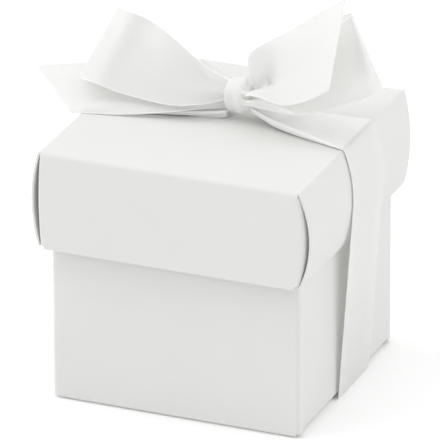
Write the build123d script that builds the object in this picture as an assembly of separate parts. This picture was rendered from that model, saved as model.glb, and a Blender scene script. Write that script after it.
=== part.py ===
from build123d import *
import os
from math import acos, asin, atan, atan2, cos, degrees, hypot, radians, sin, sqrt

# A folded-card favor box: a tuck-bottom base carton, a lift-off lid with roll-over side
# walls, and one satin ribbon that goes round both and is tied in a bow on top.
# Millimetres. Z is up and z = 0 is the table. The ribbon runs along X, and -Y is the front.
# The origin is on the table, under the middle of the carton.

# Card
BOARD = 0.4             # thickness of the folding boxboard
CREASE = 0.8            # outside radius of a creased right-angle fold
CARD_GAP = 0.1          # free space between two card layers that aren't glued
CORNER_RELIEF = 0.2     # how far the cut ends of the lid's side walls stand back from its front

# Base carton
BASE_WIDTH = 50.0       # outside, along X
BASE_DEPTH = 47.5       # outside, along Y
BASE_HEIGHT = 50.4
GLUE_TAB = 10.0
TAB_TAPER = 3.0         # slanted ends of glue and corner tabs
DUST_FLAP = 18.0
FLAP_INSET = 2.0        # a flap is this much narrower than its wall at each end
TONGUE_HEIGHT = 12.0
TONGUE_CORNER = 4.0

# Lid
LID_WALL = 19.5         # height of the lid's walls
LID_SIDE_GAP = 0.15     # lid to base at each side
LID_END_GAP = 2.8       # lid to base at the front and at the back
LID_TAB = 14.0          # length of a corner tab
BOW_RIGHT_FRONT = 2.1   # how far the right side wall swells out at its front end
BOW_RIGHT_BACK = 1.1    # and at its back end
BOW_LEFT = 1.3          # the left side wall, all along
TAB_BOW_RIGHT = 1.3     # how far the right corner tabs swell out, less than their side wall
TAB_BOW_LEFT = 0.4      # and the left ones

# Ribbon
RIBBON_WIDTH = 15.0
RIBBON_THICK = 0.3
RIBBON_Y = 2.5          # the ribbon lies a little behind the middle
RIBBON_GAP = 0.2        # ribbon to card
RIBBON_FOOT = 0.4       # ribbon to base wall at the bottom edge
STRAND_NECK = 4.0       # width of a strand where the knot gathers it

# Knot
KNOT_X = 2.9
KNOT_WIDTH = 5.2
KNOT_DEPTH = 6.6
KNOT_HEIGHT = 6.5
KNOT_ROUND = 1.9
KNOT_FLOAT = 1.5        # the knot hangs this high over the lid
ROOT_GAP = 0.5          # loops and tails start this far from the knot's sides
LEFT_ENTRY = 0.2        # where the strands enter the knot, above its underside
RIGHT_ENTRY = 1.7

# Levels and faces that follow from those sizes
base_x = BASE_WIDTH / 2
base_y = BASE_DEPTH / 2
base_z = RIBBON_THICK + CARD_GAP
base_top = base_z + BASE_HEIGHT
floor_z = base_z + BOARD            # top of the bottom panel, under the dust flaps
lid_under = base_top + CARD_GAP / 2
lid_top = lid_under + BOARD
lid_low = lid_top - LID_WALL
leaf_x = base_x + LID_SIDE_GAP      # inner face of a lid's inner wall
tab_x = leaf_x + 2 * BOARD          # outer face of a lid's corner tab
lid_y = base_y + LID_END_GAP + BOARD
tab_tip = -lid_y + CREASE + LID_TAB     # back end of a front corner tab
fold_r = 1.5 * BOARD                # roll-over fold: inner wall, tab and outer wall abreast
fold_x = leaf_x + fold_r
strand_front = RIBBON_Y - RIBBON_WIDTH / 2
strand_back = RIBBON_Y + RIBBON_WIDTH / 2
knot_z = lid_top + KNOT_FLOAT
knot_left = KNOT_X - KNOT_WIDTH / 2
knot_right = KNOT_X + KNOT_WIDTH / 2

# Bow, as stations along the ribbon: lower edge point, direction to the upper edge, share of
# the ribbon's width that is spread there. X is from the root beside the knot, outwards, Y from
# the ribbon's middle line, and Z from the knot's underside, in fifteenths of the ribbon's width.
bow_unit = RIBBON_WIDTH / 15
LEFT_LOOP = [
    ((0.0, -2.5, 2.7), (0.2, 3.0, 3.0), 0.28),
    ((3.4, -4.2, 2.1), (2.6, 6.5, 5.1), 0.58),
    ((9.2, -5.7, 1.5), (4.1, 9.3, 10.0), 0.95),
    ((18.9, -6.0, 2.5), (-1.4, 10.6, 10.7), 1.01),
    ((23.8, -6.1, 3.7), (-3.2, 9.7, 11.0), 1.0),
    ((26.6, -4.9, 3.6), (-3.6, 9.6, 11.0), 1.0),
    ((28.5, -2.9, 3.1), (-3.4, 9.7, 10.7), 0.99),
    ((28.5, -0.6, 3.0), (-2.3, 12.0, 7.8), 0.97),
    ((20.2, -0.4, 3.7), (0.7, 13.2, 4.8), 0.94),
    ((10.1, -1.7, 3.1), (1.5, 7.2, 5.1), 0.6),
    ((4.2, -0.8, 2.9), (1.4, 4.7, 2.8), 0.38),
    ((0.0, -1.2, 2.1), (0.2, 3.0, 3.0), 0.28),
]
RIGHT_LOOP = [
    ((0.0, -3.7, 2.8), (0.0, 2.8, 1.7), 0.22),
    ((5.0, -5.1, 3.1), (-3.8, 6.6, 4.8), 0.6),
    ((11.1, -6.5, 3.7), (-6.7, 9.6, 9.2), 0.95),
    ((16.9, -6.0, 5.6), (-6.7, 9.3, 10.9), 1.0),
    ((22.4, -4.0, 7.8), (-7.8, 7.3, 11.6), 1.0),
    ((25.0, -1.3, 9.0), (-7.7, 5.2, 11.8), 1.0),
    ((23.4, 2.1, 8.1), (-7.8, 4.8, 11.3), 1.0),
    ((16.6, 5.1, 5.7), (-6.2, 4.4, 10.2), 0.86),
    ((8.5, 4.7, 3.9), (-3.9, 3.8, 7.6), 0.63),
    ((2.4, 2.3, 3.1), (-1.2, 2.6, 4.8), 0.38),
    ((0.0, 0.9, 3.1), (0.0, 1.5, 3.4), 0.25),
]
LEFT_TAIL = [
    ((0.0, -1.5, 0.9), (0.1, 4.4, 2.0), 0.32),
    ((4.8, -4.0, 0.9), (-0.5, 9.5, 4.5), 0.7),
    ((9.8, -6.1, 0.7), (-0.2, 13.2, 4.9), 0.94),
    ((18.4, -8.0, -0.25), (-0.3, 14.0, 5.0), 1.0),
    ((24.1, -9.0, -0.8), (1.4, 14.0, 4.3), 1.0),
    ((28.0, -9.5, -1.35), (12.4, 13.5, 2.0), 1.24),
]
RIGHT_TAIL = [
    ((0.0, -3.1, 4.5), (-0.1, 2.8, 2.6), 0.26),
    ((2.6, -5.3, 5.3), (-2.2, 5.6, 5.4), 0.55),
    ((8.1, -7.5, 5.7), (-5.2, 9.0, 8.6), 0.9),
    ((12.9, -8.5, 7.8), (-5.0, 10.0, 10.9), 1.02),
    ((16.0, -8.6, 9.7), (-3.9, 9.6, 12.2), 1.05),
    ((17.7, -8.5, 10.8), (-0.2, 8.5, 14.8), 1.14),
]
SPAN_STEPS = 2          # sections per span between two stations


# Small tools

def block(x0, x1, y0, y1, z0, z1):
    """A box between two corners."""
    return Pos((x0 + x1) / 2, (y0 + y1) / 2, (z0 + z1) / 2) * Box(x1 - x0, y1 - y0, z1 - z0)


def polar(centre, radius, angle):
    """The point at an angle, in degrees, on a circle in a section plane."""
    return (centre[0] + radius * cos(radians(angle)), centre[1] + radius * sin(radians(angle)))


def arc_edge(centre, radius, start, end):
    """An arc from one angle to another, in degrees."""
    return ThreePointArc(*[polar(centre, radius, angle) for angle in (start, (start + end) / 2, end)])


def tangent_angle(point, centre, radius, side):
    """The angle on a circle where a line from an outside point touches it."""
    across, up = point[0] - centre[0], point[1] - centre[1]
    swing = degrees(acos(radius / hypot(across, up)))
    return degrees(atan2(up, across)) + side * swing


def band_face(pieces, thick):
    """A strip's section: inner face of tangent arcs and lines, and the same pushed out by thick.

    An arc is (centre, radius, start, end). A line is (start point, end point, outward angle).
    """
    inner, outer = [], []
    for piece in pieces:
        if len(piece) == 4:
            centre, radius, start, end = piece
            inner.append(arc_edge(centre, radius, start, end))
            outer.append(arc_edge(centre, radius + thick, start, end))
        else:
            first, last, angle = piece
            inner.append(Line(first, last))
            outer.append(Line(polar(first, thick, angle), polar(last, thick, angle)))
    ends = [Line(inner[0] @ 0, outer[0] @ 0), Line(inner[-1] @ 1, outer[-1] @ 1)]
    return make_face(Curve() + inner + outer + ends)


def section_plane(y):
    """The upright plane at a given Y, with X across and Z up."""
    return Plane(origin=(0, y, 0), x_dir=(1, 0, 0), z_dir=(0, -1, 0))


def slab(face, y0, y1):
    """A section pushed from y0 to y1."""
    return extrude(section_plane(y1) * face, amount=y1 - y0)


def side_crease(x, z, y0, y1, start, end, radius=CREASE):
    """A fold that runs along Y, round (x, z)."""
    return slab(band_face([((x, z), radius - BOARD, start, end)], BOARD), y0, y1)


def upright_crease(x, y, z0, z1, start, end):
    """A fold that runs upwards, round (x, y)."""
    face = band_face([((x, y), CREASE - BOARD, start, end)], BOARD)
    return Pos(0, 0, z0) * extrude(face, amount=z1 - z0)


def cross_crease(y, z, x0, x1, start, end):
    """A fold that runs along X, round (y, z)."""
    plane = Plane(origin=(x0, 0, 0), x_dir=(0, 1, 0), z_dir=(1, 0, 0))
    return extrude(plane * band_face([((y, z), CREASE - BOARD, start, end)], BOARD), amount=x1 - x0)


def other_side(shape):
    """The same piece on the left."""
    return mirror(shape, about=Plane.YZ)


# Base carton

def base_front_wall():
    wall = block(-base_x + CREASE, base_x - CREASE, -base_y, -base_y + BOARD, base_z, base_top)
    return wall + upright_crease(-base_x + CREASE, -base_y + CREASE, floor_z, base_top, 180, 270)


def flap_notch(side):
    """The room in a side wall for its dust flap's fold."""
    x0, x1 = sorted((side * (base_x - 2 * CREASE), side * (base_x + CREASE)))
    return block(x0, x1, -base_y + FLAP_INSET, base_y - FLAP_INSET, base_z, floor_z + CREASE)


def base_right_wall():
    wall = block(base_x - BOARD, base_x, -base_y + CREASE, base_y - CREASE, floor_z, base_top)
    wall += upright_crease(base_x - CREASE, -base_y + CREASE, floor_z, base_top, 270, 360)
    return wall - flap_notch(1)


def base_back_wall():
    wall = block(-base_x, base_x - CREASE, base_y - BOARD, base_y, base_z, base_top)
    wall += upright_crease(base_x - CREASE, base_y - CREASE, floor_z, base_top, 0, 90)
    fold_room = block(-base_x + FLAP_INSET, base_x - FLAP_INSET, base_y - CREASE, base_y + CREASE,
                      base_z, base_z + CREASE)
    return wall - fold_room


def base_left_wall():
    wall = block(-base_x, -base_x + BOARD, -base_y + CREASE, base_y - BOARD - CREASE, floor_z, base_top)
    return wall - flap_notch(-1)


def base_glue_tab():
    """Folds in from the left wall and is glued to the inside of the back wall."""
    y1 = base_y - BOARD
    x0 = -base_x + CREASE
    fold = upright_crease(x0, y1 - CREASE, floor_z, base_top, 90, 180)
    low, high = floor_z + FLAP_INSET, base_top - CARD_GAP
    outline = Polyline((x0, floor_z), (x0 + GLUE_TAB, low + TAB_TAPER), (x0 + GLUE_TAB, high - TAB_TAPER),
                       (x0, high), close=True)
    return fold + slab(make_face(outline), y1 - BOARD, y1)


def base_bottom_panel():
    half = base_x - FLAP_INSET
    front = -base_y + BOARD + CARD_GAP + CREASE
    panel = block(-half, half, front, base_y - CREASE, base_z, floor_z)
    return panel + cross_crease(base_y - CREASE, base_z + CREASE, -half, half, 270, 360)


def base_tuck_tongue():
    """Closes the bottom panel by going up inside the front wall."""
    half = base_x - FLAP_INSET - CREASE
    y0 = -base_y + BOARD + CARD_GAP
    top = base_z + TONGUE_HEIGHT
    tongue = block(-half, half, y0, y0 + BOARD, base_z + CREASE, top)
    corners = tongue.edges().filter_by(Axis.Y).group_by(Axis.Z)[-1]
    tongue = fillet(corners, TONGUE_CORNER)
    return tongue + cross_crease(y0 + CREASE, base_z + CREASE, -half, half, 180, 270)


def base_right_dust_flap():
    """Lies on the bottom panel, folded in from the side wall."""
    root = base_x - CREASE
    half = base_y - FLAP_INSET
    fold = side_crease(root, floor_z + CREASE, -half, half, 270, 360)
    outline = Polyline((root, -half), (root, half), (root - DUST_FLAP, half - TAB_TAPER),
                       (root - DUST_FLAP, -half + TAB_TAPER), close=True)
    return fold + Pos(0, 0, floor_z) * extrude(make_face(outline), amount=BOARD)


# Lid

def swell_at(y, front, back):
    """How far a side wall swells out at a given Y."""
    end = lid_y - CORNER_RELIEF
    return front + (back - front) * (y + end) / (2 * end)


def swell_arc(swell):
    """Centre, outer radius and half angle of a side wall's bow, tangent to its two folds."""
    half = (LID_WALL - 2 * fold_r) / 2
    angle = 2 * atan(swell / half)
    reach = half / sin(angle)
    centre = (fold_x - reach * cos(angle), lid_top - fold_r - half)
    return centre, reach + fold_r, degrees(angle)


def outer_wall_face(swell):
    centre, radius, angle = swell_arc(swell)
    crease = ((fold_x, lid_top - fold_r), fold_r - BOARD, 90, angle)
    bow = (centre, radius - BOARD, angle, -angle)
    return band_face([crease, bow], BOARD)


def inner_wall_face(swell):
    angle = swell_arc(swell)[2]
    fold_z = lid_low + fold_r
    fold = ((fold_x, fold_z), fold_r - BOARD, -angle, -180)
    inner_x = fold_x - fold_r + BOARD
    leaf = ((inner_x, fold_z), (inner_x, lid_under - CARD_GAP), 180)
    return band_face([fold, leaf], BOARD)


def swelling(face_at, half, front, back):
    """A side wall between its front and back sections."""
    ends = [section_plane(y) * face_at(swell_at(y, front, back)) for y in (-half, half)]
    return loft(ends, ruled=True)


def lid_outer_wall(front, back):
    return swelling(outer_wall_face, lid_y - CORNER_RELIEF, front, back)


def lid_inner_wall(front, back):
    return swelling(inner_wall_face, lid_y - BOARD - CREASE, front, back)


def lid_top_panel():
    return block(-fold_x, fold_x, -lid_y + CREASE, lid_y - CREASE, lid_under, lid_top)


def lid_front_wall():
    half = tab_x - CREASE
    wall = block(-half, half, -lid_y, -lid_y + BOARD, lid_low, lid_top - CREASE)
    return wall + cross_crease(-lid_y + CREASE, lid_top - CREASE, -fold_x, fold_x, 90, 180)


def tab_block(swell, depth, front, radius):
    """A solid body under the bow, as wide as a corner tab's face that lies depth inside it.

    Its front edge is rounded by radius.
    """
    centre, reach, _ = swell_arc(swell)
    reach -= depth
    half = LID_WALL / 2 - CREASE
    turn = degrees(asin(half / reach))
    bow = arc_edge(centre, reach, -turn, turn)
    left = leaf_x - CREASE
    sides = Polyline(bow @ 1, (left, centre[1] + half), (left, centre[1] - half), bow @ 0)
    body = slab(make_face(bow + sides), front, tab_tip)
    return fillet(body.edges().filter_by(GeomType.CIRCLE).sort_by(Axis.Y)[0], radius)


def lid_front_right_tab(swell):
    """Turned in behind the side wall along a crease that bows out like that wall."""
    outside = tab_block(swell, BOARD, -lid_y, CREASE - CARD_GAP)
    inside = tab_block(swell, 2 * BOARD, -lid_y + BOARD, CREASE - CARD_GAP - BOARD)
    centre, reach, _ = swell_arc(swell)
    half = LID_WALL / 2 - CREASE
    clear = sqrt((reach - BOARD) ** 2 - (tab_x + CARD_GAP - centre[0]) ** 2)
    fold_end = -lid_y + BOARD + CREASE - CARD_GAP
    upper = [(-lid_y, half), (fold_end, half), (fold_end, clear), (tab_tip, clear - TAB_TAPER)]
    lower = [(y, -z) for y, z in reversed(upper)]
    plane = Plane(origin=(tab_x - CREASE, 0, centre[1]), x_dir=(0, 1, 0), z_dir=(1, 0, 0))
    outline = extrude(plane * make_face(Polyline(*upper, *lower, close=True)), amount=CREASE + swell)
    return (outside - inside) & outline


def turned_round(shape):
    """The same piece at the opposite end."""
    return mirror(shape, about=Plane.XZ)


# Ribbon round the box

def strand_entry(side):
    """Where a top strand's inner face meets the knot, as distance from the middle and height."""
    if side > 0:
        return (knot_right + ROOT_GAP, knot_z + RIGHT_ENTRY)
    return (-knot_left + ROOT_GAP, knot_z + LEFT_ENTRY)


def corner_circle():
    """The ribbon's inner face where it goes over the lid's edge."""
    return (fold_x, lid_top - fold_r), fold_r + RIBBON_GAP


def under_strand():
    half = base_x + RIBBON_FOOT + RIBBON_THICK
    return block(-half, half, strand_front, strand_back, 0, RIBBON_THICK)


def side_strand(side, swell):
    """From the bottom edge straight up to the swollen lid wall, and over the lid's edge."""
    centre, radius, angle = swell_arc(swell)
    radius += RIBBON_GAP
    foot = (base_x + RIBBON_FOOT, RIBBON_THICK + CARD_GAP)
    touch = tangent_angle(foot, centre, radius, 1)
    corner, corner_r = corner_circle()
    leave = tangent_angle(strand_entry(side), corner, corner_r, -1)
    pieces = [
        (foot, polar(centre, radius, touch), touch),
        (centre, radius, touch, angle),
        (corner, corner_r, angle, leave),
    ]
    strand = slab(band_face(pieces, RIBBON_THICK), strand_front, strand_back)
    return strand if side > 0 else other_side(strand)


def top_strand(side):
    """From the lid's edge up to the knot, which gathers it."""
    corner, corner_r = corner_circle()
    entry = strand_entry(side)
    leave = tangent_angle(entry, corner, corner_r, -1)
    edge = polar(corner, corner_r, leave)
    strip = slab(band_face([(edge, entry, leave)], RIBBON_THICK), strand_front, strand_back)
    outer_x, knot_x = edge[0] + CREASE, entry[0] - CREASE
    taper = Polyline((outer_x, strand_front), (outer_x, strand_back), (knot_x, RIBBON_Y + STRAND_NECK / 2),
                     (knot_x, RIBBON_Y - STRAND_NECK / 2), close=True)
    strip = strip & Pos(0, 0, lid_under) * extrude(make_face(taper), amount=KNOT_FLOAT + KNOT_HEIGHT)
    return strip if side > 0 else other_side(strip)


# Bow

def knot():
    body = block(knot_left, knot_right, RIBBON_Y - KNOT_DEPTH / 2, RIBBON_Y + KNOT_DEPTH / 2,
                 knot_z, knot_z + KNOT_HEIGHT)
    return fillet(body.edges(), KNOT_ROUND)


def edge_points(stations, side):
    """Lower and upper edge points of the stations, where they stand on the box."""
    root = knot_right + ROOT_GAP if side > 0 else knot_left - ROOT_GAP
    rows = []
    for (out, y, z), (dx, dy, dz), share in stations:
        low = Vector(root, RIBBON_Y, knot_z) + Vector(side * out, y, z) * bow_unit
        across = Vector(side * dx, dy, dz).normalized()
        rows.append((low, low + across * (RIBBON_WIDTH * share)))
    return rows


def between(a, b, c, d, t):
    """A point between b and c on the smooth curve through four points."""
    ease = t * t * (3 - 2 * t)
    leave, arrive = (c - a) / 2, (d - b) / 2
    return b + (c - b) * ease + leave * (t * (1 - t) ** 2) - arrive * (t * t * (1 - t))


def smoothed(points):
    """The points of one edge with more points between them."""
    ends = [points[0] * 2 - points[1]] + points + [points[-1] * 2 - points[-2]]
    fine = []
    for i in range(len(points) - 1):
        fine += [between(*ends[i:i + 4], step / SPAN_STEPS) for step in range(SPAN_STEPS)]
    return fine + [points[-1]]


def ribbon_piece(stations, side):
    """A free stretch of ribbon: a thin band through the stations."""
    lows, highs = zip(*edge_points(stations, side))
    lows, highs = smoothed(list(lows)), smoothed(list(highs))
    middles = [(low + high) * 0.5 for low, high in zip(lows, highs)]
    sections = []
    for i, (low, high) in enumerate(zip(lows, highs)):
        ahead = middles[min(i + 1, len(middles) - 1)] - middles[max(i - 1, 0)]
        push = ahead.cross(high - low).normalized() * (RIBBON_THICK / 2)
        sections.append(Wire.make_polygon([low - push, high - push, high + push, low + push]))
    return Solid.make_loft(sections, ruled=True)


NODES = {
    "base_front_wall": base_front_wall(),
    "base_right_wall": base_right_wall(),
    "base_back_wall": base_back_wall(),
    "base_left_wall": base_left_wall(),
    "base_glue_tab": base_glue_tab(),
    "base_bottom_panel": base_bottom_panel(),
    "base_tuck_tongue": base_tuck_tongue(),
    "base_right_dust_flap": base_right_dust_flap(),
    "base_left_dust_flap": other_side(base_right_dust_flap()),
    "lid_top_panel": lid_top_panel(),
    "lid_front_wall": lid_front_wall(),
    "lid_back_wall": turned_round(lid_front_wall()),
    "lid_right_outer_wall": lid_outer_wall(BOW_RIGHT_FRONT, BOW_RIGHT_BACK),
    "lid_left_outer_wall": other_side(lid_outer_wall(BOW_LEFT, BOW_LEFT)),
    "lid_right_inner_wall": lid_inner_wall(BOW_RIGHT_FRONT, BOW_RIGHT_BACK),
    "lid_left_inner_wall": other_side(lid_inner_wall(BOW_LEFT, BOW_LEFT)),
    "lid_front_right_tab": lid_front_right_tab(TAB_BOW_RIGHT),
    "lid_front_left_tab": other_side(lid_front_right_tab(TAB_BOW_LEFT)),
    "lid_back_right_tab": turned_round(lid_front_right_tab(min(TAB_BOW_RIGHT, BOW_RIGHT_BACK - CARD_GAP))),
    "lid_back_left_tab": other_side(turned_round(lid_front_right_tab(TAB_BOW_LEFT))),
    "ribbon_under_strand": under_strand(),
    "ribbon_right_strand": side_strand(1, swell_at(strand_front, BOW_RIGHT_FRONT, BOW_RIGHT_BACK)),
    "ribbon_left_strand": side_strand(-1, BOW_LEFT),
    "ribbon_top_right_strand": top_strand(1),
    "ribbon_top_left_strand": top_strand(-1),
    "bow_knot": knot(),
    "bow_left_loop": ribbon_piece(LEFT_LOOP, -1),
    "bow_right_loop": ribbon_piece(RIGHT_LOOP, 1),
    "bow_left_tail": ribbon_piece(LEFT_TAIL, -1),
    "bow_right_tail": ribbon_piece(RIGHT_TAIL, 1),
}

os.makedirs("parts", exist_ok=True)
for name, shape in NODES.items():
    export_step(shape, f"parts/{name}.step")
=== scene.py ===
"""Dresses the favor box: a white card carton with a lift-off lid, and a satin ribbon tied in a bow.

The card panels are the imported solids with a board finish. Every stretch of ribbon is a woven sheet
that stands for its solid. Lengths in the classes are millimetres; meshes are in metres.
"""
import logging
import math
from dataclasses import dataclass, field
from enum import Enum

import bpy
import numpy as np
from mathutils import Matrix, Vector


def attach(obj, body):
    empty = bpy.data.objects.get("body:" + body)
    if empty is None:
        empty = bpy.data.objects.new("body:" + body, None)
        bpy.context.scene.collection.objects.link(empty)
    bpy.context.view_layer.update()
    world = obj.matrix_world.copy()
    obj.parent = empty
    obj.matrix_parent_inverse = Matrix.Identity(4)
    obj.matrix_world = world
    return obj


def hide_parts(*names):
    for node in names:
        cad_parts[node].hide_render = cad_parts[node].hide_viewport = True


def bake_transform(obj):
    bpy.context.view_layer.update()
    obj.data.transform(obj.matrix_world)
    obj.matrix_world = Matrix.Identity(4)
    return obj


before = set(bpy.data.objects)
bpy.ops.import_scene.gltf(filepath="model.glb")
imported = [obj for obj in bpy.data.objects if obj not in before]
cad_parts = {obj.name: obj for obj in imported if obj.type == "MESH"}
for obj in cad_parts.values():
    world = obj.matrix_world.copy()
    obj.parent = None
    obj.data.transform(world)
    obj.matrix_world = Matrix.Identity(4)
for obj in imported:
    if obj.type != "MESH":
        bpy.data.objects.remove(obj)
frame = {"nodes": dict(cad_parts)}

LOG = logging.getLogger("favor_box")
MM = 0.001
UV_SPAN = 100.0         # millimetres of ribbon per unit of its UV map
UV_NAME = "ribbon"


class Side(Enum):
    """The two sides of the box, as the sign of X."""

    LEFT = -1
    RIGHT = 1


class Face(Enum):
    """Which face of the single-faced ribbon looks outwards, and how its cloth lies."""

    SATIN = "satin"
    # the gathered face's darker colour is painted shade on the knot and the strands it gathers
    GATHERED = "satin in thick folds"
    TAUT = "satin pulled over card"
    MATTE = "matte"


class Hold(Enum):
    """How a stretch of ribbon is held."""

    STRETCHED = "stretched"
    GATHERED = "gathered"


def linear(code: str) -> tuple[float, float, float, float]:
    """Turns an sRGB hex colour into linear light.

    Args:
        code: six hex digits after a hash sign.

    Returns:
        Red, green, blue and an alpha of 1.
    """
    parts = [int(code[i:i + 2], 16) / 255 for i in (1, 3, 5)]
    light = [p / 12.92 if p <= 0.04045 else ((p + 0.055) / 1.055) ** 2.4 for p in parts]
    return (light[0], light[1], light[2], 1.0)


def add_node(tree: bpy.types.NodeTree, kind: str, sockets: dict | None = None,
             **settings) -> bpy.types.Node:
    """Adds a node with its settings, socket values and links.

    Args:
        tree: the node tree.
        kind: the node's type name.
        sockets: input names or numbers, with a value or the output socket to link.
        settings: the node's own properties.

    Returns:
        The new node.
    """
    made = tree.nodes.new(kind)
    for key, value in settings.items():
        setattr(made, key, value)
    for key, value in (sockets or {}).items():
        if isinstance(value, bpy.types.NodeSocket):
            tree.links.new(value, made.inputs[key])
        else:
            made.inputs[key].default_value = value
    return made


def new_material(name: str) -> tuple[bpy.types.Material, bpy.types.NodeTree]:
    """Makes an empty node material.

    Args:
        name: the real material's name.

    Returns:
        The material and its node tree.
    """
    material = bpy.data.materials.new(name)
    material.use_nodes = True
    material.node_tree.nodes.clear()
    return material, material.node_tree


def add_piece(name: str, mesh: bpy.types.Mesh) -> bpy.types.Object:
    """Puts a mesh into the scene as a piece at the origin."""
    piece = bpy.data.objects.new(name, mesh)
    bpy.context.scene.collection.objects.link(piece)
    return piece


def settle(piece: bpy.types.Object) -> None:
    """Turns a piece's modifiers into its own plain mesh."""
    graph = bpy.context.evaluated_depsgraph_get()
    mesh = bpy.data.meshes.new_from_object(piece.evaluated_get(graph))
    mesh.name = piece.name
    piece.modifiers.clear()
    piece.data = mesh


@dataclass(frozen=True)
class CartonBoard:
    """White folding boxboard: smooth and matt, with a fine tooth and a faint fibre cloud."""

    name: str
    colour: str
    cloud: str
    fibre: float = 0.7          # length of the fibres that show as a tooth
    cloud_size: float = 7.0     # size of the patches where the fibres lie denser
    roughness: tuple[float, float] = (0.52, 0.66)
    tooth_depth: float = 0.03
    index: float = 1.48
    gloss: float = 0.3

    def build(self) -> bpy.types.Material:
        """Makes the board material.

        Returns:
            The material.
        """
        material, tree = new_material(self.name)
        place = add_node(tree, "ShaderNodeTexCoord").outputs["Object"]
        tooth = add_node(tree, "ShaderNodeTexNoise", {
            "Vector": place, "Scale": 1 / (self.fibre * MM), "Detail": 3.0, "Roughness": 0.6})
        cloud = add_node(tree, "ShaderNodeTexNoise", {
            "Vector": place, "Scale": 1 / (self.cloud_size * MM), "Detail": 4.0, "Roughness": 0.55})
        colour = add_node(tree, "ShaderNodeMix", {
            "Factor": cloud.outputs["Fac"], "A": linear(self.colour), "B": linear(self.cloud)},
            data_type="RGBA")
        rough = add_node(tree, "ShaderNodeMapRange", {
            "Value": tooth.outputs["Fac"], "From Min": 0.3, "From Max": 0.7,
            "To Min": self.roughness[0], "To Max": self.roughness[1]})
        bump = add_node(tree, "ShaderNodeBump", {
            "Height": tooth.outputs["Fac"], "Strength": 0.35, "Distance": self.tooth_depth * MM})
        surface = add_node(tree, "ShaderNodeBsdfPrincipled", {
            "Base Color": colour.outputs["Result"], "Roughness": rough.outputs["Result"],
            "Normal": bump.outputs["Normal"], "IOR": self.index, "Specular IOR Level": self.gloss})
        add_node(tree, "ShaderNodeOutputMaterial", {"Surface": surface.outputs["BSDF"]})
        return material


@dataclass(frozen=True)
class RibbonFinish:
    """One face of polyester satin ribbon, woven with long floats that run along it.

    The satin face shines in a streak across the threads. The back is duller, with the same threads.
    Real threads are about 0.1 mm apart, too fine to show, so they are drawn at thread.
    """

    name: str
    colour: str
    shade: str
    index: float                # polyester is 1.57; the satin's aligned floats mirror more than that
    sheer: float                # share of the light that the thin cloth lets through
    roughness: tuple[float, float] = (0.28, 0.36)
    anisotropy: float = 0.6
    gloss: float = 1.0          # strength of the mirror light, where 0.5 is what the index gives
    relief: float = 0.003       # depth of the threads
    thread: float = 0.3
    thread_run: float = 14.0    # length of one thread's float as drawn
    streak: float = 1.4         # width of a pulled bundle of threads
    streak_run: float = 45.0
    glow: str = "#FDFDFC"       # colour of the light that comes through

    def build(self) -> bpy.types.Material:
        """Makes the woven material on the ribbon's own UV map.

        Returns:
            The material.
        """
        material, tree = new_material(self.name)
        place = add_node(tree, "ShaderNodeUVMap", uv_map=UV_NAME).outputs["UV"]
        lanes = add_node(tree, "ShaderNodeMapping", {
            "Vector": place, "Scale": (UV_SPAN / self.thread, UV_SPAN / self.thread_run, 1.0)})
        bundles = add_node(tree, "ShaderNodeMapping", {
            "Vector": place, "Scale": (UV_SPAN / self.streak, UV_SPAN / self.streak_run, 1.0)})
        threads = add_node(tree, "ShaderNodeTexNoise", {
            "Vector": lanes.outputs["Vector"], "Scale": 1.0, "Detail": 2.0, "Roughness": 0.5},
            noise_dimensions="2D")
        streaks = add_node(tree, "ShaderNodeTexNoise", {
            "Vector": bundles.outputs["Vector"], "Scale": 1.0, "Detail": 2.0, "Roughness": 0.6},
            noise_dimensions="2D")
        colour = add_node(tree, "ShaderNodeMix", {
            "Factor": streaks.outputs["Fac"], "A": linear(self.colour), "B": linear(self.shade)},
            data_type="RGBA")
        rough = add_node(tree, "ShaderNodeMapRange", {
            "Value": threads.outputs["Fac"], "From Min": 0.3, "From Max": 0.7,
            "To Min": self.roughness[0], "To Max": self.roughness[1]})
        pulled = add_node(tree, "ShaderNodeBump", {
            "Height": streaks.outputs["Fac"], "Strength": 0.5, "Distance": self.relief * MM})
        woven = add_node(tree, "ShaderNodeBump", {
            "Height": threads.outputs["Fac"], "Strength": 0.6, "Distance": self.relief * MM,
            "Normal": pulled.outputs["Normal"]})
        across = add_node(tree, "ShaderNodeTangent", direction_type="UV_MAP", uv_map=UV_NAME)
        surface = add_node(tree, "ShaderNodeBsdfPrincipled", {
            "Base Color": colour.outputs["Result"], "Roughness": rough.outputs["Result"],
            "Normal": woven.outputs["Normal"], "Tangent": across.outputs["Tangent"],
            "IOR": self.index, "Specular IOR Level": self.gloss, "Anisotropic": self.anisotropy})
        lit_through = add_node(tree, "ShaderNodeBsdfTranslucent", {
            "Color": linear(self.glow), "Normal": woven.outputs["Normal"]})
        cloth = add_node(tree, "ShaderNodeMixShader", {
            "Fac": self.sheer, 1: surface.outputs["BSDF"], 2: lit_through.outputs["BSDF"]})
        add_node(tree, "ShaderNodeOutputMaterial", {"Surface": cloth.outputs["Shader"]})
        return material


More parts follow.
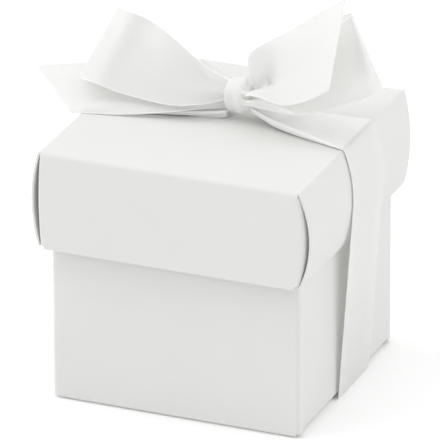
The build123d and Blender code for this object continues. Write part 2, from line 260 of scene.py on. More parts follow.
@dataclass(frozen=True)
class SelvedgeThread:
    """The ribbon's woven edge: a fine cord of the same polyester, with a slight twist."""

    name: str = "polyester_selvedge_cord"
    colour: str = "#F6F6F5"
    twist: float = 0.45         # length of one turn, drawn coarser than the real one so that it shows
    roughness: tuple[float, float] = (0.34, 0.46)
    relief: float = 0.02        # depth of the twist
    index: float = 1.57

    def build(self) -> bpy.types.Material:
        """Makes the cord material on the length that its tree stores.

        Returns:
            The material.
        """
        material, tree = new_material(self.name)
        along = add_node(tree, "ShaderNodeAttribute", attribute_name="along")
        turns = add_node(tree, "ShaderNodeMath", {
            0: along.outputs["Fac"], 1: math.tau / (self.twist * MM)}, operation="MULTIPLY")
        wave = add_node(tree, "ShaderNodeMath", {0: turns.outputs["Value"]}, operation="SINE")
        rough = add_node(tree, "ShaderNodeMapRange", {
            "Value": wave.outputs["Value"], "From Min": -1.0, "From Max": 1.0,
            "To Min": self.roughness[0], "To Max": self.roughness[1]})
        bump = add_node(tree, "ShaderNodeBump", {
            "Height": wave.outputs["Value"], "Strength": 0.3, "Distance": self.relief * MM})
        surface = add_node(tree, "ShaderNodeBsdfPrincipled", {
            "Base Color": linear(self.colour), "Roughness": rough.outputs["Result"],
            "Normal": bump.outputs["Normal"], "IOR": self.index})
        add_node(tree, "ShaderNodeOutputMaterial", {"Surface": surface.outputs["BSDF"]})
        return material


@dataclass
class SelvedgeBead:
    """A tree that lays a round cord along the edges of a ribbon."""

    radius: float = 0.15
    sides: int = 6
    thread: SelvedgeThread = field(default_factory=SelvedgeThread)

    def __post_init__(self) -> None:
        """Builds the material and the tree once."""
        self.material = self.thread.build()
        self.sockets: dict[str, str] = {}
        self.tree = self.build_tree()

    def build_tree(self) -> bpy.types.NodeTree:
        """Makes the node tree: edge lines in, a closed cord out.

        Returns:
            The tree.
        """
        tree = bpy.data.node_groups.new("selvedge_bead", "GeometryNodeTree")
        face = tree.interface
        face.new_socket("Edge lines", in_out="INPUT", socket_type="NodeSocketGeometry")
        for label, kind in (("Bead radius", "Float"), ("Bead sides", "Int"), ("Thread", "Material")):
            socket = face.new_socket(label, in_out="INPUT", socket_type=f"NodeSocket{kind}")
            self.sockets[label] = socket.identifier
        face.new_socket("Cord", in_out="OUTPUT", socket_type="NodeSocketGeometry")
        given = add_node(tree, "NodeGroupInput")
        line = add_node(tree, "GeometryNodeMeshToCurve", {"Mesh": given.outputs["Edge lines"]})
        reach = add_node(tree, "GeometryNodeSplineParameter")
        marked = add_node(tree, "GeometryNodeStoreNamedAttribute", {
            "Geometry": line.outputs["Curve"], "Name": "along", "Value": reach.outputs["Length"]},
            data_type="FLOAT", domain="POINT")
        ring = add_node(tree, "GeometryNodeCurvePrimitiveCircle", {
            "Resolution": given.outputs["Bead sides"], "Radius": given.outputs["Bead radius"]})
        cord = add_node(tree, "GeometryNodeCurveToMesh", {
            "Curve": marked.outputs["Geometry"], "Profile Curve": ring.outputs["Curve"], "Fill Caps": True})
        smooth = add_node(tree, "GeometryNodeSetShadeSmooth", {"Geometry": cord.outputs["Mesh"]})
        real = add_node(tree, "GeometryNodeRealizeInstances", {"Geometry": smooth.outputs["Geometry"]})
        dyed = add_node(tree, "GeometryNodeSetMaterial", {
            "Geometry": real.outputs["Geometry"], "Material": given.outputs["Thread"]})
        add_node(tree, "NodeGroupOutput", {"Cord": dyed.outputs["Geometry"]})
        return tree

    def lay(self, name: str, lines: list[np.ndarray], closed: bool) -> bpy.types.Object:
        """Lays the cord along some lines.

        Args:
            name: the piece's name.
            lines: points of each edge, in millimetres.
            closed: whether each line joins up with itself.

        Returns:
            The piece, as a plain mesh.
        """
        points, edges = [], []
        for line in lines:
            first, count = len(points), len(line)
            points += [tuple(p * MM) for p in line]
            edges += [(first + i, first + i + 1) for i in range(count - 1)]
            if closed:
                edges.append((first + count - 1, first))
        mesh = bpy.data.meshes.new(name)
        mesh.from_pydata(points, edges, [])
        piece = add_piece(name, mesh)
        bead = piece.modifiers.new("bead", "NODES")
        bead.node_group = self.tree
        bead[self.sockets["Bead radius"]] = self.radius * MM
        bead[self.sockets["Bead sides"]] = self.sides
        bead[self.sockets["Thread"]] = self.material
        settle(piece)
        return piece


@dataclass
class SatinRibbon:
    """The ribbon as it comes off the roll, and how a stretch of it becomes a piece."""

    width: float = 15.0
    thick: float = 0.3          # space that the solids keep for it
    weave: float = 0.2          # thickness of the cloth itself
    rim: float = 60.0           # edges of the cloth sharper than this, in degrees, stay sharp
    satin: RibbonFinish = RibbonFinish("polyester_satin_face", "#FCFCFB", "#F9F9F8", index=2.6, sheer=0.45)
    matte: RibbonFinish = RibbonFinish(
        "polyester_satin_back", "#FBFBFA", "#F8F8F7", index=1.57, sheer=0.45,
        roughness=(0.5, 0.62), anisotropy=0.25, gloss=0.5)
    # a darker copy of the satin face for the knot and the top strands: its colour is painted shade, the same
    # ribbon where less light falls
    gathered: RibbonFinish = RibbonFinish(
        "polyester_satin_face_with_painted_shade", "#F6F6F5", "#F3F3F2", index=1.9, sheer=0.0)
    taut: RibbonFinish = RibbonFinish(
        "polyester_satin_face_over_card", "#FCFCFB", "#F9F9F8", index=1.9, sheer=0.3)
    bead: SelvedgeBead = field(default_factory=SelvedgeBead)

    def __post_init__(self) -> None:
        """Builds the faces' materials once."""
        self.faces = {Face.SATIN: self.satin.build(), Face.GATHERED: self.gathered.build(),
                      Face.TAUT: self.taut.build(), Face.MATTE: self.matte.build()}

    def sheet_mesh(self, name: str, grid: np.ndarray, outwards: bool, closed: bool) -> bpy.types.Mesh:
        """Makes the cloth's middle surface with its UV map.

        Args:
            name: the mesh's name.
            grid: points in millimetres, rows along the ribbon and columns across it.
            outwards: whether rows crossed with columns point out of the outer face.
            closed: whether the last row joins the first.

        Returns:
            The mesh.
        """
        rows, columns = grid.shape[:2]
        spans = rows if closed else rows - 1
        quads = []
        for i in range(spans):
            for j in range(columns - 1):
                a, b = i * columns + j, ((i + 1) % rows) * columns + j
                quads.append((a, b, b + 1, a + 1) if outwards else (a, a + 1, b + 1, b))
        mesh = bpy.data.meshes.new(name)
        mesh.from_pydata([tuple(p) for p in grid.reshape(-1, 3) * MM], [], quads)
        middle = grid[:, columns // 2]
        steps = np.linalg.norm(np.diff(np.vstack([middle, middle[:1]]), axis=0), axis=1)
        along = np.concatenate([[0.0], np.cumsum(steps)])
        layer = mesh.uv_layers.new(name=UV_NAME)
        for polygon in mesh.polygons:
            for loop in polygon.loop_indices:
                i, j = divmod(mesh.loops[loop].vertex_index, columns)
                wraps = closed and i == 0 and polygon.index >= (rows - 1) * (columns - 1)
                layer.data[loop].uv = (
                    j / (columns - 1) * self.width / UV_SPAN, along[rows if wraps else i] / UV_SPAN)
        mesh.polygons.foreach_set("use_smooth", [True] * len(mesh.polygons))
        return mesh

    def weave_piece(self, name: str, grid: np.ndarray, outwards: bool, outer: Face,
                    closed: bool = False) -> tuple[bpy.types.Object, bpy.types.Object]:
        """Makes a stretch of ribbon and the cord along its two edges.

        Args:
            name: the piece's name.
            grid: points in millimetres, rows along the ribbon and columns across it.
            outwards: whether rows crossed with columns point out of the outer face.
            outer: the face of the cloth on that side.
            closed: whether the last row joins the first.

        Returns:
            The sheet and its selvedge.
        """
        piece = add_piece(name, self.sheet_mesh(name, grid, outwards, closed))
        inner = Face.SATIN if outer is Face.MATTE else Face.MATTE
        piece.data.materials.append(self.faces[outer])
        piece.data.materials.append(self.faces[inner])
        body = piece.modifiers.new("weave", "SOLIDIFY")
        body.thickness = self.weave * MM
        body.offset = 0.0
        body.material_offset = 1
        settle(piece)
        piece.data.set_sharp_from_angle(angle=math.radians(self.rim))
        selvedge = self.bead.lay(f"{name}_selvedge", [grid[:, 0], grid[:, -1]], closed)
        return piece, selvedge


@dataclass(frozen=True)
class Station:
    """One place along a free stretch: its lower edge, the lean to its upper edge, its share of the width."""

    low: tuple[float, float, float]
    lean: tuple[float, float, float]
    spread: float


@dataclass(frozen=True)
class Dimple:
    """A soft hollow or swelling in a stretch, by its share along and across, its reach and its depth."""

    along: float
    across: float
    reach_along: float
    reach_across: float
    depth: float


@dataclass(frozen=True)
class Pleats:
    """The folds that a knot presses into the ribbon beside it."""

    count: float = 3.5
    phase: float = 0.0
    deepest: float = 1.7        # most cloth per width that the folds take up
    reach: float = 6.0          # how far from the knot they are deep
    least_share: float = 0.2    # smallest share of the width that is reckoned with

    def depths(self, shares: np.ndarray, chords: np.ndarray, away: np.ndarray) -> np.ndarray:
        """Works out how deep the folds are along a stretch.

        Args:
            shares: share of the ribbon's width that is spread.
            chords: width that is spread, in millimetres.
            away: distance from the knot, in millimetres.

        Returns:
            Depths in millimetres.
        """
        taken = np.clip(1 / np.clip(shares, self.least_share, 1), 1, self.deepest)
        full = np.sqrt(2 * (taken**2 - 1)) * chords / (math.tau * self.count)
        return full / (1 + (away / self.reach) ** 4)


@dataclass
class FreeStretch:
    """A loop or tail of the bow: a ruled band through stations, pleated where it is gathered."""

    name: str
    side: Side
    body: str
    stations: list[Station]
    outer: Face
    pleats: Pleats = Pleats()
    dimples: tuple[Dimple, ...] = ()
    tuck_end: bool = True       # whether the far end goes back into the knot
    span_steps: int = 12
    columns: int = 41
    tuck: float = 1.8           # how far the gathered end goes on into the knot

    def stand(self, root: Vector, width: float) -> tuple[np.ndarray, np.ndarray, np.ndarray]:
        """Puts the stations in their places.

        Args:
            root: the place that the stations are measured from.
            width: the ribbon's width.

        Returns:
            Lower edge points, upper edge points and shares of width.
        """
        lows, highs, shares = [], [], []
        sign = self.side.value
        for station in self.stations:
            out, back, up = station.low
            low = np.array((root.x + sign * out, root.y + back, root.z + up))
            lean = np.array((sign * station.lean[0], station.lean[1], station.lean[2]))
            lows.append(low)
            highs.append(low + lean / np.linalg.norm(lean) * width * station.spread)
            shares.append(station.spread)
        inwards = np.array((-sign * self.tuck, 0.0, 0.0))
        lows.insert(0, lows[0] + inwards)
        highs.insert(0, highs[0] + inwards)
        shares.insert(0, shares[0])
        if self.tuck_end:
            lows.append(lows[-1] + inwards)
            highs.append(highs[-1] + inwards)
            shares.append(shares[-1])
        return np.array(lows), np.array(highs), np.array(shares)[:, None]

    def smooth(self, points: np.ndarray) -> np.ndarray:
        """Draws the smooth curve through some points.

        Args:
            points: one row per station.

        Returns:
            The curve's points, with span_steps for each span.
        """
        ends = np.vstack([2 * points[0] - points[1], points, 2 * points[-1] - points[-2]])
        fine = []
        for a, b, c, d in zip(ends, ends[1:], ends[2:], ends[3:]):
            for step in range(self.span_steps):
                t = step / self.span_steps
                fine.append(0.5 * (2 * b + (c - a) * t + (2 * a - 5 * b + 4 * c - d) * t**2
                                   + (3 * b - a - 3 * c + d) * t**3))
        return np.array(fine + [points[-1]])

    def grid(self, root: Vector, width: float) -> np.ndarray:
        """Works out the cloth's points.

        Args:
            root: the place that the stations are measured from.
            width: the ribbon's width.

        Returns:
            Points in millimetres, rows along the ribbon and columns across it.
        """
        lows, highs, shares = (self.smooth(part) for part in self.stand(root, width))
        middle = (lows + highs) / 2
        ahead = np.gradient(middle, axis=0)
        normal = np.cross(ahead, highs - lows) * self.side.value
        normal /= np.linalg.norm(normal, axis=1, keepdims=True)
        across = np.linspace(0, 1, self.columns)
        along = np.linspace(0, 1, len(middle))
        chord = np.linalg.norm(highs - lows, axis=1)
        away = np.abs(middle[:, 0] - root.x)
        depth = self.pleats.depths(shares[:, 0], chord, away)
        fold = np.sin(math.tau * (self.pleats.count * across + self.pleats.phase))
        # A loop lies flatter on its way back into the knot, so that it can't poke through its first half.
        kept = 1 - along if self.tuck_end else np.ones_like(along)
        lift = (depth * kept)[:, None] * fold[None, :]
        for dimple in self.dimples:
            reach = ((along - dimple.along) / dimple.reach_along)[:, None] ** 2
            reach = reach + ((across - dimple.across) / dimple.reach_across)[None, :] ** 2
            lift = lift + dimple.depth * np.exp(-reach)
        flat = lows[:, None] + (highs - lows)[:, None] * across[None, :, None]
        return flat + normal[:, None] * lift[..., None]


def stations(rows: list[tuple]) -> list[Station]:
    """Names the numbers of a list of stations."""
    return [Station(*row) for row in rows]


@dataclass
class Bow:
    """Two loops, two tails and the knot that holds them."""

    ribbon: SatinRibbon
    knot_x: float = 2.9
    knot_width: float = 5.2
    knot_depth: float = 6.6
    knot_height: float = 6.5
    knot_low: float = 52.75
    ribbon_y: float = 2.5
    root_gap: float = 0.5
    flex_reach: float = 7.0     # how far from its root a loop or tail bends
    knot_pleats: float = 1.0    # folds pressed into the knot's face
    knot_fold: float = 0.22     # how deep they are
    knot_face: float = 0.42     # share of the ribbon that shows between the rolled edges
    knot_roll: float = 0.9      # radius of a rolled edge
    knot_curl: float = 270.0    # how far an edge rolls in, in degrees
    knot_crown: float = 0.2     # how far its face falls off towards the rolled edges
    knot_square: float = 2.6    # power of its rounded outline, where 2 is an ellipse
    knot_inset: float = 0.15    # the cloth's middle lies this far inside the knot's sides
    knot_rows: int = 72
    knot_columns: int = 49

    def stretches(self) -> list[FreeStretch]:
        """Lists the loops and tails.

        Returns:
            The four free stretches, with stations in millimetres from their roots.
        """
        left_loop = stations([
            ((0.0, -2.5, 2.7), (0.2, 3.0, 3.0), 0.28),
            ((3.4, -4.2, 2.1), (2.6, 6.5, 5.1), 0.58),
            ((9.2, -5.7, 1.5), (4.1, 9.3, 10.0), 0.95),
            ((18.9, -6.0, 2.5), (-1.4, 10.6, 10.7), 1.01),
            ((23.8, -6.1, 3.7), (-3.2, 9.7, 11.0), 1.0),
            ((26.6, -4.9, 3.6), (-3.6, 9.6, 11.0), 1.0),
            ((28.5, -2.9, 3.1), (-3.4, 9.7, 10.7), 0.99),
            ((28.5, -0.6, 3.0), (-2.3, 12.0, 7.8), 0.97),
            ((20.2, -0.4, 3.7), (0.7, 13.2, 4.8), 0.94),
            ((10.1, -1.7, 3.1), (1.5, 7.2, 5.1), 0.6),
            ((4.2, -0.8, 2.9), (1.4, 4.7, 2.8), 0.38),
            ((0.0, -1.2, 2.1), (0.2, 3.0, 3.0), 0.28)])
        right_loop = stations([
            ((0.0, -3.7, 2.8), (0.0, 2.8, 1.7), 0.22),
            ((5.0, -5.1, 3.1), (-3.8, 6.6, 4.8), 0.6),
            ((11.1, -6.5, 3.7), (-6.7, 9.6, 9.2), 0.95),
            ((16.9, -6.0, 5.6), (-6.7, 9.3, 10.9), 1.0),
            ((22.4, -4.0, 7.8), (-7.8, 7.3, 11.6), 1.0),
            ((25.0, -1.3, 9.0), (-7.7, 5.2, 11.8), 1.0),
            ((23.4, 2.1, 8.1), (-7.8, 4.8, 11.3), 1.0),
            ((16.6, 5.1, 5.7), (-6.2, 4.4, 10.2), 0.86),
            ((8.5, 4.7, 3.9), (-3.9, 3.8, 7.6), 0.63),
            ((2.4, 2.3, 3.1), (-1.2, 2.6, 4.8), 0.38),
            ((0.0, 0.9, 3.1), (0.0, 1.5, 3.4), 0.25)])
        left_tail = stations([
            ((0.0, -1.5, 0.9), (0.1, 4.4, 2.0), 0.32),
            ((4.8, -4.0, 0.9), (-0.5, 9.5, 4.5), 0.7),
            ((9.8, -6.1, 0.7), (-0.2, 13.2, 4.9), 0.94),
            ((18.4, -8.0, -0.25), (-0.3, 14.0, 5.0), 1.0),
            ((24.1, -9.0, -0.8), (1.4, 14.0, 4.3), 1.0),
            ((28.0, -9.5, -1.35), (12.4, 13.5, 2.0), 1.24)])
        right_tail = stations([
            ((0.0, -3.1, 4.5), (-0.1, 2.8, 2.6), 0.26),
            ((2.6, -5.3, 5.3), (-2.2, 5.6, 5.4), 0.55),
            ((8.1, -7.5, 5.7), (-5.2, 9.0, 8.6), 0.9),
            ((12.9, -8.5, 7.8), (-5.0, 10.0, 10.9), 1.02),
            ((16.0, -8.6, 9.7), (-3.9, 9.6, 12.2), 1.05),
            ((17.7, -8.5, 10.8), (-0.2, 8.5, 14.8), 1.14)])
        return [
            FreeStretch("bow_left_loop_ribbon", Side.LEFT, "left_loop", left_loop, Face.SATIN,
                        Pleats(count=1.1, phase=-0.08, deepest=1.15)),
            FreeStretch("bow_right_loop_ribbon", Side.RIGHT, "right_loop", right_loop, Face.SATIN,
                        Pleats(count=1.3), (Dimple(0.3, 0.0, 0.2, 0.25, 0.9),)),
            FreeStretch("bow_left_tail_ribbon", Side.LEFT, "left_tail", left_tail, Face.MATTE,
                        Pleats(count=1.5), (Dimple(0.62, 0.0, 0.3, 0.12, -0.9),), tuck_end=False),
            FreeStretch("bow_right_tail_ribbon", Side.RIGHT, "right_tail", right_tail, Face.MATTE,
                        Pleats(count=1.0, phase=0.25), tuck_end=False)]

    def root(self, side: Side) -> Vector:
        """Finds where the stretches of one side come out of the knot."""
        out = self.knot_width / 2 + self.root_gap
        return Vector((self.knot_x + side.value * out, self.ribbon_y, self.knot_low))

    def build_stretch(self, stretch: FreeStretch) -> None:
        """Makes one loop or tail and hides the solid that it stands for."""
        root = self.root(stretch.side)
        grid = stretch.grid(root, self.ribbon.width)
        piece, selvedge = self.ribbon.weave_piece(stretch.name, grid, True, stretch.outer)
        node = stretch.name.removesuffix("_ribbon")
        for part in (piece, selvedge):
            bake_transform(part)
        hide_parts(node)

    def knot_grid(self) -> np.ndarray:
        """Works out the turn of ribbon round the knot.

        Returns:
            Points in millimetres, rows round the knot and columns across the ribbon.
        """
        centre = np.array((self.knot_x, self.ribbon_y, self.knot_low + self.knot_height / 2))
        turn = np.linspace(0, math.tau, self.knot_rows, endpoint=False)[:, None]
        lane = np.linspace(-1, 1, self.knot_columns)[None, :]
        # The edges roll in towards the stretches that the knot holds.
        flat_half = self.knot_width / 2 - self.knot_roll
        face = np.clip(np.abs(lane) / self.knot_face, 0, 1)
        roll = np.clip((np.abs(lane) - self.knot_face) / (1 - self.knot_face), 0, 1)
        turned = roll * math.radians(self.knot_curl)
        out = np.sign(lane) * (flat_half * face + self.knot_roll * np.sin(turned))
        sink = self.knot_roll * (1 - np.cos(turned)) + self.knot_crown * face**2
        # The folds are deepest under the knot, and wander a little sideways on their way round it.
        deep = self.knot_fold * (0.75 - 0.25 * np.sin(turn))
        wander = 0.6 + 0.5 * np.cos(turn)
        fold = deep * np.sin(math.pi * self.knot_pleats * lane / self.knot_face + wander) * (1 - roll)
        depth = self.knot_depth / 2 - self.knot_inset
        height = self.knot_height / 2 - self.knot_inset
        power = self.knot_square
        square = (np.abs(np.cos(turn)) ** power + np.abs(np.sin(turn)) ** power) ** (-1 / power)
        y = np.cos(turn) * square * (depth - sink + fold)
        z = np.sin(turn) * square * (height - sink + fold)
        x = out + 0 * turn
        return np.stack([x, y, z], axis=2) + centre

    def build_knot(self) -> None:
        """Makes the knot from one turn of gathered ribbon."""
        grid = self.knot_grid()
        piece, selvedge = self.ribbon.weave_piece(
            "bow_knot_ribbon", grid, False, Face.GATHERED, closed=True)
        for part in (piece, selvedge):
            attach(part, "bow")
        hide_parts("bow_knot")

    def build(self) -> None:
        """Makes the whole bow."""
        self.build_knot()
        for stretch in self.stretches():
            self.build_stretch(stretch)


@dataclass
class RibbonBand:
    """The ribbon round the box: under it, up both sides, and over the lid to the knot."""

    ribbon: SatinRibbon
    base_x: float = 25.0
    lid_wall: float = 19.5
    lid_top: float = 51.25
    fold_x: float = 25.75
    fold_r: float = 0.6
    lid_end: float = 26.75
    swell_right: tuple[float, float] = (2.1, 1.1)
    swell_left: float = 1.3
    ribbon_y: float = 2.5
    ribbon_gap: float = 0.2
    foot: float = 0.4
    foot_bend: float = 0.55     # radius of the turn under the box
    knot_left: float = 0.2      # root of the left strand, out from the middle
    knot_right: float = 6.0
    left_entry: float = 52.95
    right_entry: float = 54.45
    neck: float = 4.0
    lip: float = 1.4            # radius of the rolled edges beside the knot
    lip_share: float = 0.2      # share of the width that each takes up
    lip_curl: float = 130.0     # how far they roll under, in degrees
    lip_fade: float = 0.8       # share of their radius that they lose at the knot
    lip_least: float = 0.02     # radius of what is left of them at the lid's edge
    into_knot: float = 0.6      # how far a strand goes on into the knot
    gathers: Pleats = Pleats(count=1.5, phase=0.1, deepest=2.6, reach=9.0)
    still: float = 2.0          # height up to which a side strand doesn't stretch
    foot_steps: int = 9         # points along a side strand: round the foot,
    rise_steps: int = 40        # up to the lid,
    wall_steps: int = 24        # on the lid's side wall
    edge_steps: int = 13        # and over the lid's edge
    rows: int = 60              # points along each of the other strands
    columns: int = 49

    def swell(self, side: Side) -> float:
        """Finds how far the lid's side wall swells out behind the ribbon's front edge."""
        if side is Side.LEFT:
            return self.swell_left
        front, back = self.swell_right
        start = self.ribbon_y - self.ribbon.width / 2
        return front + (back - front) * (start + self.lid_end) / (2 * self.lid_end)

    def wall_arc(self, swell: float) -> tuple[np.ndarray, float, float]:
        """Finds the arc of a swollen side wall.

        Args:
            swell: how far the wall stands out at its middle.

        Returns:
            Centre, outer radius and half angle in radians.
        """
        half = (self.lid_wall - 2 * self.fold_r) / 2
        angle = 2 * math.atan(swell / half)
        reach = half / math.sin(angle)
        centre = np.array((self.fold_x - reach * math.cos(angle), self.lid_top - self.fold_r - half))
        return centre, reach + self.fold_r, angle

    @staticmethod
    def touch_angle(point: np.ndarray, centre: np.ndarray, radius: float, side: int) -> float:
        """Finds the angle on a circle where a line from an outside point touches it."""
        off = point - centre
        return math.atan2(off[1], off[0]) + side * math.acos(radius / np.linalg.norm(off))

    @staticmethod
    def arc(centre: np.ndarray, radius: float, start: float, end: float, steps: int) -> np.ndarray:
        """Draws an arc as points."""
        turn = np.linspace(start, end, steps)
        return centre + radius * np.stack([np.cos(turn), np.sin(turn)], axis=1)

    def entry(self, side: Side) -> np.ndarray:
        """Finds where a top strand meets the knot, as distance from the middle and height."""
        if side is Side.LEFT:
            return np.array((self.knot_left, self.left_entry))
        return np.array((self.knot_right, self.right_entry))

    def side_path(self, side: Side) -> np.ndarray:
        """Draws the strand's middle line from under the box to over the lid's edge.

        Args:
            side: left or right.

        Returns:
            Points as distance from the middle and height, in millimetres.
        """
        half = self.ribbon.thick / 2
        centre, radius, angle = self.wall_arc(self.swell(side))
        radius += self.ribbon_gap + half
        bend = np.array((self.base_x + self.foot + half - self.foot_bend, half + self.foot_bend))
        foot = bend + np.array((self.foot_bend, 0.0))
        touch = self.touch_angle(foot, centre, radius, 1)
        corner = np.array((self.fold_x, self.lid_top - self.fold_r))
        corner_r = self.fold_r + self.ribbon_gap + half
        leave = self.touch_angle(self.entry(side), corner, corner_r, -1)
        contact = centre + radius * np.array((math.cos(touch), math.sin(touch)))
        return np.vstack([
            self.arc(bend, self.foot_bend, -math.pi / 2, 0, self.foot_steps)[:-1],
            np.linspace(foot, contact, self.rise_steps)[:-1],
            self.arc(centre, radius, touch, angle, self.wall_steps)[:-1],
            self.arc(corner, corner_r, angle, leave, self.edge_steps)])

    def build_side(self, side: Side) -> None:
        """Makes one side strand."""
        name = f"ribbon_{side.name.lower()}_strand"
        path = self.side_path(side)
        across = np.linspace(-0.5, 0.5, self.columns) * self.ribbon.width + self.ribbon_y
        grid = np.zeros((len(path), self.columns, 3))
        grid[..., 0] = side.value * path[:, :1]
        grid[..., 1] = across[None, :]
        grid[..., 2] = path[:, 1:]
        outwards = side is Side.LEFT
        piece, selvedge = self.ribbon.weave_piece(f"{name}_ribbon", grid, outwards, Face.TAUT)
        for part in (piece, selvedge):
            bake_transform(part)
        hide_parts(name)

    def build_under(self) -> None:
        """Makes the strand under the box."""
        half = self.base_x + self.foot + self.ribbon.thick / 2 - self.foot_bend
        along = np.linspace(-half, half, self.rows)
        across = np.linspace(-0.5, 0.5, self.columns) * self.ribbon.width + self.ribbon_y
        grid = np.zeros((len(along), self.columns, 3))
        grid[..., 0] = along[:, None]
        grid[..., 1] = across[None, :]
        grid[..., 2] = self.ribbon.thick / 2
        piece, selvedge = self.ribbon.weave_piece("ribbon_under_strand_ribbon", grid, False, Face.TAUT)
        for part in (piece, selvedge):
            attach(part, "ribbon_band")
        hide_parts("ribbon_under_strand")
        LOG.info("under strand: %.1f mm of ribbon", 2 * half)

    def top_path(self, side: Side) -> np.ndarray:
        """Draws a top strand's straight middle line, from the lid's edge into the knot."""
        edge = self.side_path(side)[-1]
        entry = self.entry(side) + np.array((-self.into_knot, self.ribbon.thick / 2))
        return edge + (entry - edge) * np.linspace(0, 1, self.rows)[:, None]

    def top_grid(self, side: Side, path: np.ndarray) -> np.ndarray:
        """Gathers a top strand towards the knot, with folds in its middle and edges that roll under.

        Args:
            side: left or right.
            path: the strand's middle line, as distance from the middle and height.

        Returns:
            Points in millimetres, rows along the ribbon and columns across it.
        """
        along = np.linspace(0, 1, self.rows)
        taper = 1 + (self.neck / self.ribbon.width - 1) * along
        across = np.linspace(-0.5, 0.5, self.columns)
        chord = self.ribbon.width * taper
        depth = self.gathers.depths(taper, chord, path[:, 0] - path[-1, 0])
        fold = np.sin(math.tau * (self.gathers.count * across + self.gathers.phase))
        lift = depth[:, None] * fold[None, :]
        curl = np.radians(self.lip_curl)
        room = (path[:, 1] - self.lid_top - self.ribbon.thick) / (1 - math.cos(curl))
        lip = (np.clip(room, self.lip_least, self.lip) * (1 - self.lip_fade * along**4))[:, None]
        flat = np.clip(across / (0.5 - self.lip_share), -1, 1)[None, :]
        turned = np.clip((np.abs(across) - 0.5 + self.lip_share) / self.lip_share, 0, 1)[None, :] * curl
        out = flat * (chord[:, None] / 2 - lip) + np.sign(across) * lip * np.sin(turned)
        grid = np.zeros((self.rows, self.columns, 3))
        grid[..., 0] = side.value * path[:, :1]
        grid[..., 1] = self.ribbon_y + out
        grid[..., 2] = path[:, 1:] + lift * (1 - turned / curl) - lip * (1 - np.cos(turned))
        return grid

    def build_top(self, side: Side) -> None:
        """Makes one strand from the lid's edge up to the knot, which gathers it."""
        name = f"ribbon_top_{side.name.lower()}_strand"
        path = self.top_path(side)
        grid = self.top_grid(side, path)
        outwards = side is Side.LEFT
        piece, selvedge = self.ribbon.weave_piece(f"{name}_ribbon", grid, outwards, Face.GATHERED)
        for part in (piece, selvedge):
            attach(part, "bow")
        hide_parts(name)

    def build(self) -> None:
        """Makes all five strands."""
        self.build_under()
        for side in Side:
            self.build_side(side)
            self.build_top(side)


@dataclass
class Carton:
    """The card panels of the base and the lid."""

    base_board: CartonBoard = CartonBoard("base_folding_boxboard", "#E8E8E6", "#E5E5E3")
    lid_board: CartonBoard = CartonBoard("lid_folding_boxboard", "#E8E8E6", "#E5E5E3")

    def dress(self, nodes: dict[str, bpy.types.Object]) -> None:
        """Gives each card panel its board.

        Args:
            nodes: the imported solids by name.
        """
        for prefix, board in (("base_", self.base_board), ("lid_", self.lid_board)):
            material = board.build()
            panels = [n for n in nodes if n.startswith(prefix)]
            for name in panels:
                mesh = nodes[name].data
                mesh.materials.clear()
                mesh.materials.append(material)
            LOG.info("%s on %d panels", board.name, len(panels))


@dataclass(frozen=True)
class SkyPatch:
    """A bright or dark card in the light tent, with angles in degrees as seen from the box."""

    azimuth: float              # from the front towards the right
    elevation: float
    full: float                 # how far from its middle it keeps its whole strength
    reach: float                # where it has faded away
    strength: float             # what it adds to the tent; a dark card takes away

    def way(self) -> tuple[float, float, float]:
        """Gives the direction from the box to the card."""
        turn, rise = math.radians(self.azimuth), math.radians(self.elevation)
        return (math.sin(turn) * math.cos(rise), -math.cos(turn) * math.cos(rise), math.sin(rise))


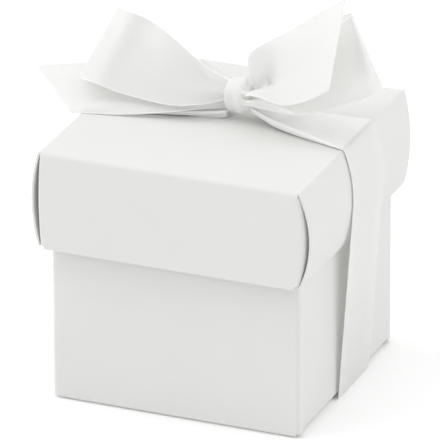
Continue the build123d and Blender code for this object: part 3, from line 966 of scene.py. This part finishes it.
@dataclass
class Studio:
    """The pale floor, the soft light and the camera."""

    target: tuple[float, float, float] = (-0.63, 0.0, 30.76)
    distance: float = 1500.0
    azimuth: float = 22.30
    elevation: float = 23.78
    roll: float = -0.13
    lens: float = 650.8
    sensor: float = 36.0
    sight: float = 50000.0      # how far the camera sees
    floor_half: float = 6000.0
    floor_colour: str = "#F4F4F4"
    floor_glow: float = 0.17    # what the camera sees on top of the floor's own light
    bounces: int = 12           # light goes back and forth many times between thin white cloth and card
    tent: float = 0.6           # strength of the light tent between its cards
    cards: tuple[SkyPatch, ...] = (
        SkyPatch(0.0, 90.0, 10.0, 45.0, 0.68),
        SkyPatch(-75.0, 38.0, 12.0, 36.0, 1.6),
        SkyPatch(15.0, 48.0, 8.0, 28.0, -0.25),
        SkyPatch(95.0, 12.0, 15.0, 55.0, 0.6),
        SkyPatch(170.0, 20.0, 20.0, 60.0, 0.35),
        SkyPatch(-30.0, 8.0, 10.0, 40.0, 0.5))

    def build_camera(self) -> None:
        """Sets the camera at the photograph's viewing angle."""
        turn, rise, tilt = (math.radians(a) for a in (self.azimuth, self.elevation, self.roll))
        back = Vector((math.sin(turn) * math.cos(rise), -math.cos(turn) * math.cos(rise), math.sin(rise)))
        level = Vector((math.cos(turn), math.sin(turn), 0))
        upright = back.cross(level)
        right = level * math.cos(tilt) + upright * math.sin(tilt)
        up = back.cross(right)
        camera = bpy.data.objects.new("camera", bpy.data.cameras.new("camera"))
        bpy.context.scene.collection.objects.link(camera)
        camera.data.lens = self.lens
        camera.data.sensor_width = self.sensor
        camera.data.clip_end = self.sight * MM
        turned = Matrix((right, up, back)).transposed().to_4x4()
        place = (Vector(self.target) + back * self.distance) * MM
        camera.matrix_world = Matrix.Translation(place) @ turned
        bpy.context.scene.camera = camera

    def build_floor(self) -> None:
        """Lays the pale floor, which stays white for the camera but keeps the shadow."""
        half = self.floor_half * MM
        mesh = bpy.data.meshes.new("studio_floor")
        corners = [(-half, -half, 0), (half, -half, 0), (half, half, 0), (-half, half, 0)]
        mesh.from_pydata(corners, [], [(0, 1, 2, 3)])
        floor = add_piece("studio_floor", mesh)
        material, tree = new_material("white_studio_paper")
        path = add_node(tree, "ShaderNodeLightPath")
        seen = path.outputs["Is Camera Ray"]
        for ray in ("Is Glossy Ray", "Is Transmission Ray"):
            either = add_node(tree, "ShaderNodeMath", {0: seen, 1: path.outputs[ray]}, operation="MAXIMUM")
            seen = either.outputs[0]
        glow = add_node(tree, "ShaderNodeMath", {0: seen, 1: self.floor_glow}, operation="MULTIPLY")
        surface = add_node(tree, "ShaderNodeBsdfPrincipled", {
            "Base Color": linear(self.floor_colour), "Roughness": 0.9, "Specular IOR Level": 0.1,
            "Emission Color": (1, 1, 1, 1), "Emission Strength": glow.outputs[0]})
        add_node(tree, "ShaderNodeOutputMaterial", {"Surface": surface.outputs["BSDF"]})
        mesh.materials.append(material)

    def build_light(self) -> None:
        """Makes an even light tent with its bright and dark cards."""
        world = bpy.data.worlds.new("studio")
        world.use_nodes = True
        tree = world.node_tree
        tree.nodes.clear()
        way = add_node(tree, "ShaderNodeTexCoord").outputs["Generated"]
        level = add_node(tree, "ShaderNodeValue").outputs[0]
        level.default_value = self.tent
        for card in self.cards:
            near = add_node(tree, "ShaderNodeVectorMath", {0: way, 1: card.way()}, operation="DOT_PRODUCT")
            light = add_node(tree, "ShaderNodeMapRange", {
                "Value": near.outputs["Value"], "From Min": math.cos(math.radians(card.reach)),
                "From Max": math.cos(math.radians(card.full)), "To Min": 0.0, "To Max": card.strength},
                interpolation_type="SMOOTHSTEP")
            level = add_node(tree, "ShaderNodeMath", {0: level, 1: light.outputs["Result"]}).outputs[0]
        sky = add_node(tree, "ShaderNodeBackground", {"Color": (1, 1, 1, 1), "Strength": level})
        add_node(tree, "ShaderNodeOutputWorld", {"Surface": sky.outputs["Background"]})
        bpy.context.scene.world = world

    def build(self) -> None:
        """Makes the whole studio."""
        bpy.context.scene.view_settings.view_transform = "Standard"
        bpy.context.scene.cycles.diffuse_bounces = self.bounces
        self.build_camera()
        self.build_floor()
        self.build_light()


def main() -> None:
    """Builds the studio and dresses the box, piece by piece."""
    logging.basicConfig(level=logging.INFO, format="%(name)s: %(message)s")
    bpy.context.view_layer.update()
    Studio().build()
    Carton().dress(frame["nodes"])
    ribbon = SatinRibbon()
    RibbonBand(ribbon).build()
    Bow(ribbon).build()


if __name__ == "__main__":
    main()
